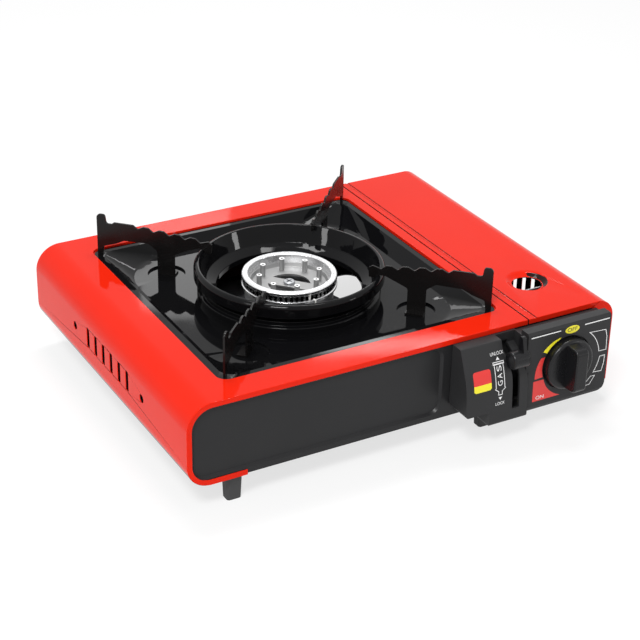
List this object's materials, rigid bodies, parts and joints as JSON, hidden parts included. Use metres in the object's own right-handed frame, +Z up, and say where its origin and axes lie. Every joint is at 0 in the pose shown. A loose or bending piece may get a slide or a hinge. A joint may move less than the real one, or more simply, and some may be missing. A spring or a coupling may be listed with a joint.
{
  "type": "butane cassette stove",
  "caption": "Portable single-burner gas stove with a red steel case, black drip pan with toothed pan supports, cartridge bay under a hinged lid, lever and knob.",
  "frame": {"origin": "middle of the footprint's bounding box, on the surface the feet stand on", "axes": "+X to the right along the front, +Y to the back, +Z up; the knob faces -Y"},
  "size_m": [0.34, 0.3, 0.113],
  "materials": {
    "red_enamel": "gloss",
    "black_paint": "semi-gloss",
    "black_enamel": "gloss",
    "dark_plastic": "satin",
    "knob_plastic": "satin",
    "igniter_plastic": "satin",
    "cast_aluminium": "satin",
    "zinc_steel": "satin",
    "brass": "satin",
    "rubber": "matt",
    "ceramic": "matt"
  },
  "bodies": {
    "casing": {"body_shell": "red_enamel", "back_panel": "red_enamel", "front_panel": "black_paint", "base_plate": "zinc_steel", "bay_partition": "zinc_steel", "foot_front_left": "rubber", "foot_back_left": "rubber", "foot_front_right": "rubber", "foot_back_right": "rubber", "burner_ring": "cast_aluminium", "burner_body": "cast_aluminium", "burner_deck": "cast_aluminium", "burner_bridge": "cast_aluminium", "burner_screw": "zinc_steel", "burner_seat": "zinc_steel", "mixing_tube": "zinc_steel", "gas_jet": "brass", "igniter_electrode": "ceramic", "electrode_bracket": "zinc_steel", "igniter_lead": "rubber", "regulator_body": "cast_aluminium", "regulator_cover": "zinc_steel", "socket_seal": "rubber", "regulator_bracket": "zinc_steel", "cartridge_guide": "zinc_steel", "piezo_igniter": "igniter_plastic", "control_housing": "dark_plastic", "housing_screws": "zinc_steel", "lever_pin": "zinc_steel", "lever_bracket": "zinc_steel", "carriage_studs": "zinc_steel", "base_hinge_leaf": "zinc_steel", "hinge_pin": "zinc_steel"},
    "pan": {"drip_pan": "black_enamel", "support_front_left": "black_enamel", "support_front_right": "black_enamel", "support_back_left": "black_enamel", "support_back_right": "black_enamel"},
    "lid": {"canister_lid": "red_enamel", "lid_hinge_leaf": "zinc_steel"},
    "knob": {"control_knob": "knob_plastic", "valve_spindle": "brass"},
    "plunger": {"piezo_plunger": "igniter_plastic"},
    "lever": {"lever_arm": "zinc_steel", "lever_handle": "knob_plastic"},
    "carriage": {"carriage_bar": "zinc_steel", "cartridge_pusher": "zinc_steel"}
  },
  "joints": [
    {"name": "knob_turn", "type": "hinge", "parent": "casing", "child": "knob", "pos_m": [0.117, -0.114, 0.0515], "axis": [0, -1, 0], "range_deg": [0, 135]},
    {"name": "igniter_press", "type": "slide", "parent": "casing", "child": "plunger", "axis": [1, 0, 0], "range_m": [0, 0.0042]},
    {"name": "lever_swing", "type": "hinge", "parent": "casing", "child": "lever", "pos_m": [0.0722, -0.1, 0.0364], "axis": [1, 0, 0], "range_deg": [0, 46]},
    {"name": "carriage_slide", "type": "slide", "parent": "casing", "child": "carriage", "axis": [0, -1, 0], "range_m": [0, 0.0091]},
    {"name": "lid_hinge", "type": "hinge", "parent": "casing", "child": "lid", "pos_m": [0.1668, 0.018, 0.017], "axis": [0, 1, 0], "range_deg": [0, 95]},
    {"name": "pan_lift", "type": "slide", "parent": "casing", "child": "pan", "axis": [0, 0, 1], "range_m": [0, 0.12]}
  ],
  "couplings": [
    {"joint": "igniter_press", "follows": "knob_turn", "m_per_rad": 0.0016976},
    {"joint": "carriage_slide", "follows": "lever_swing", "m_per_rad": 0.011194}
  ]
}
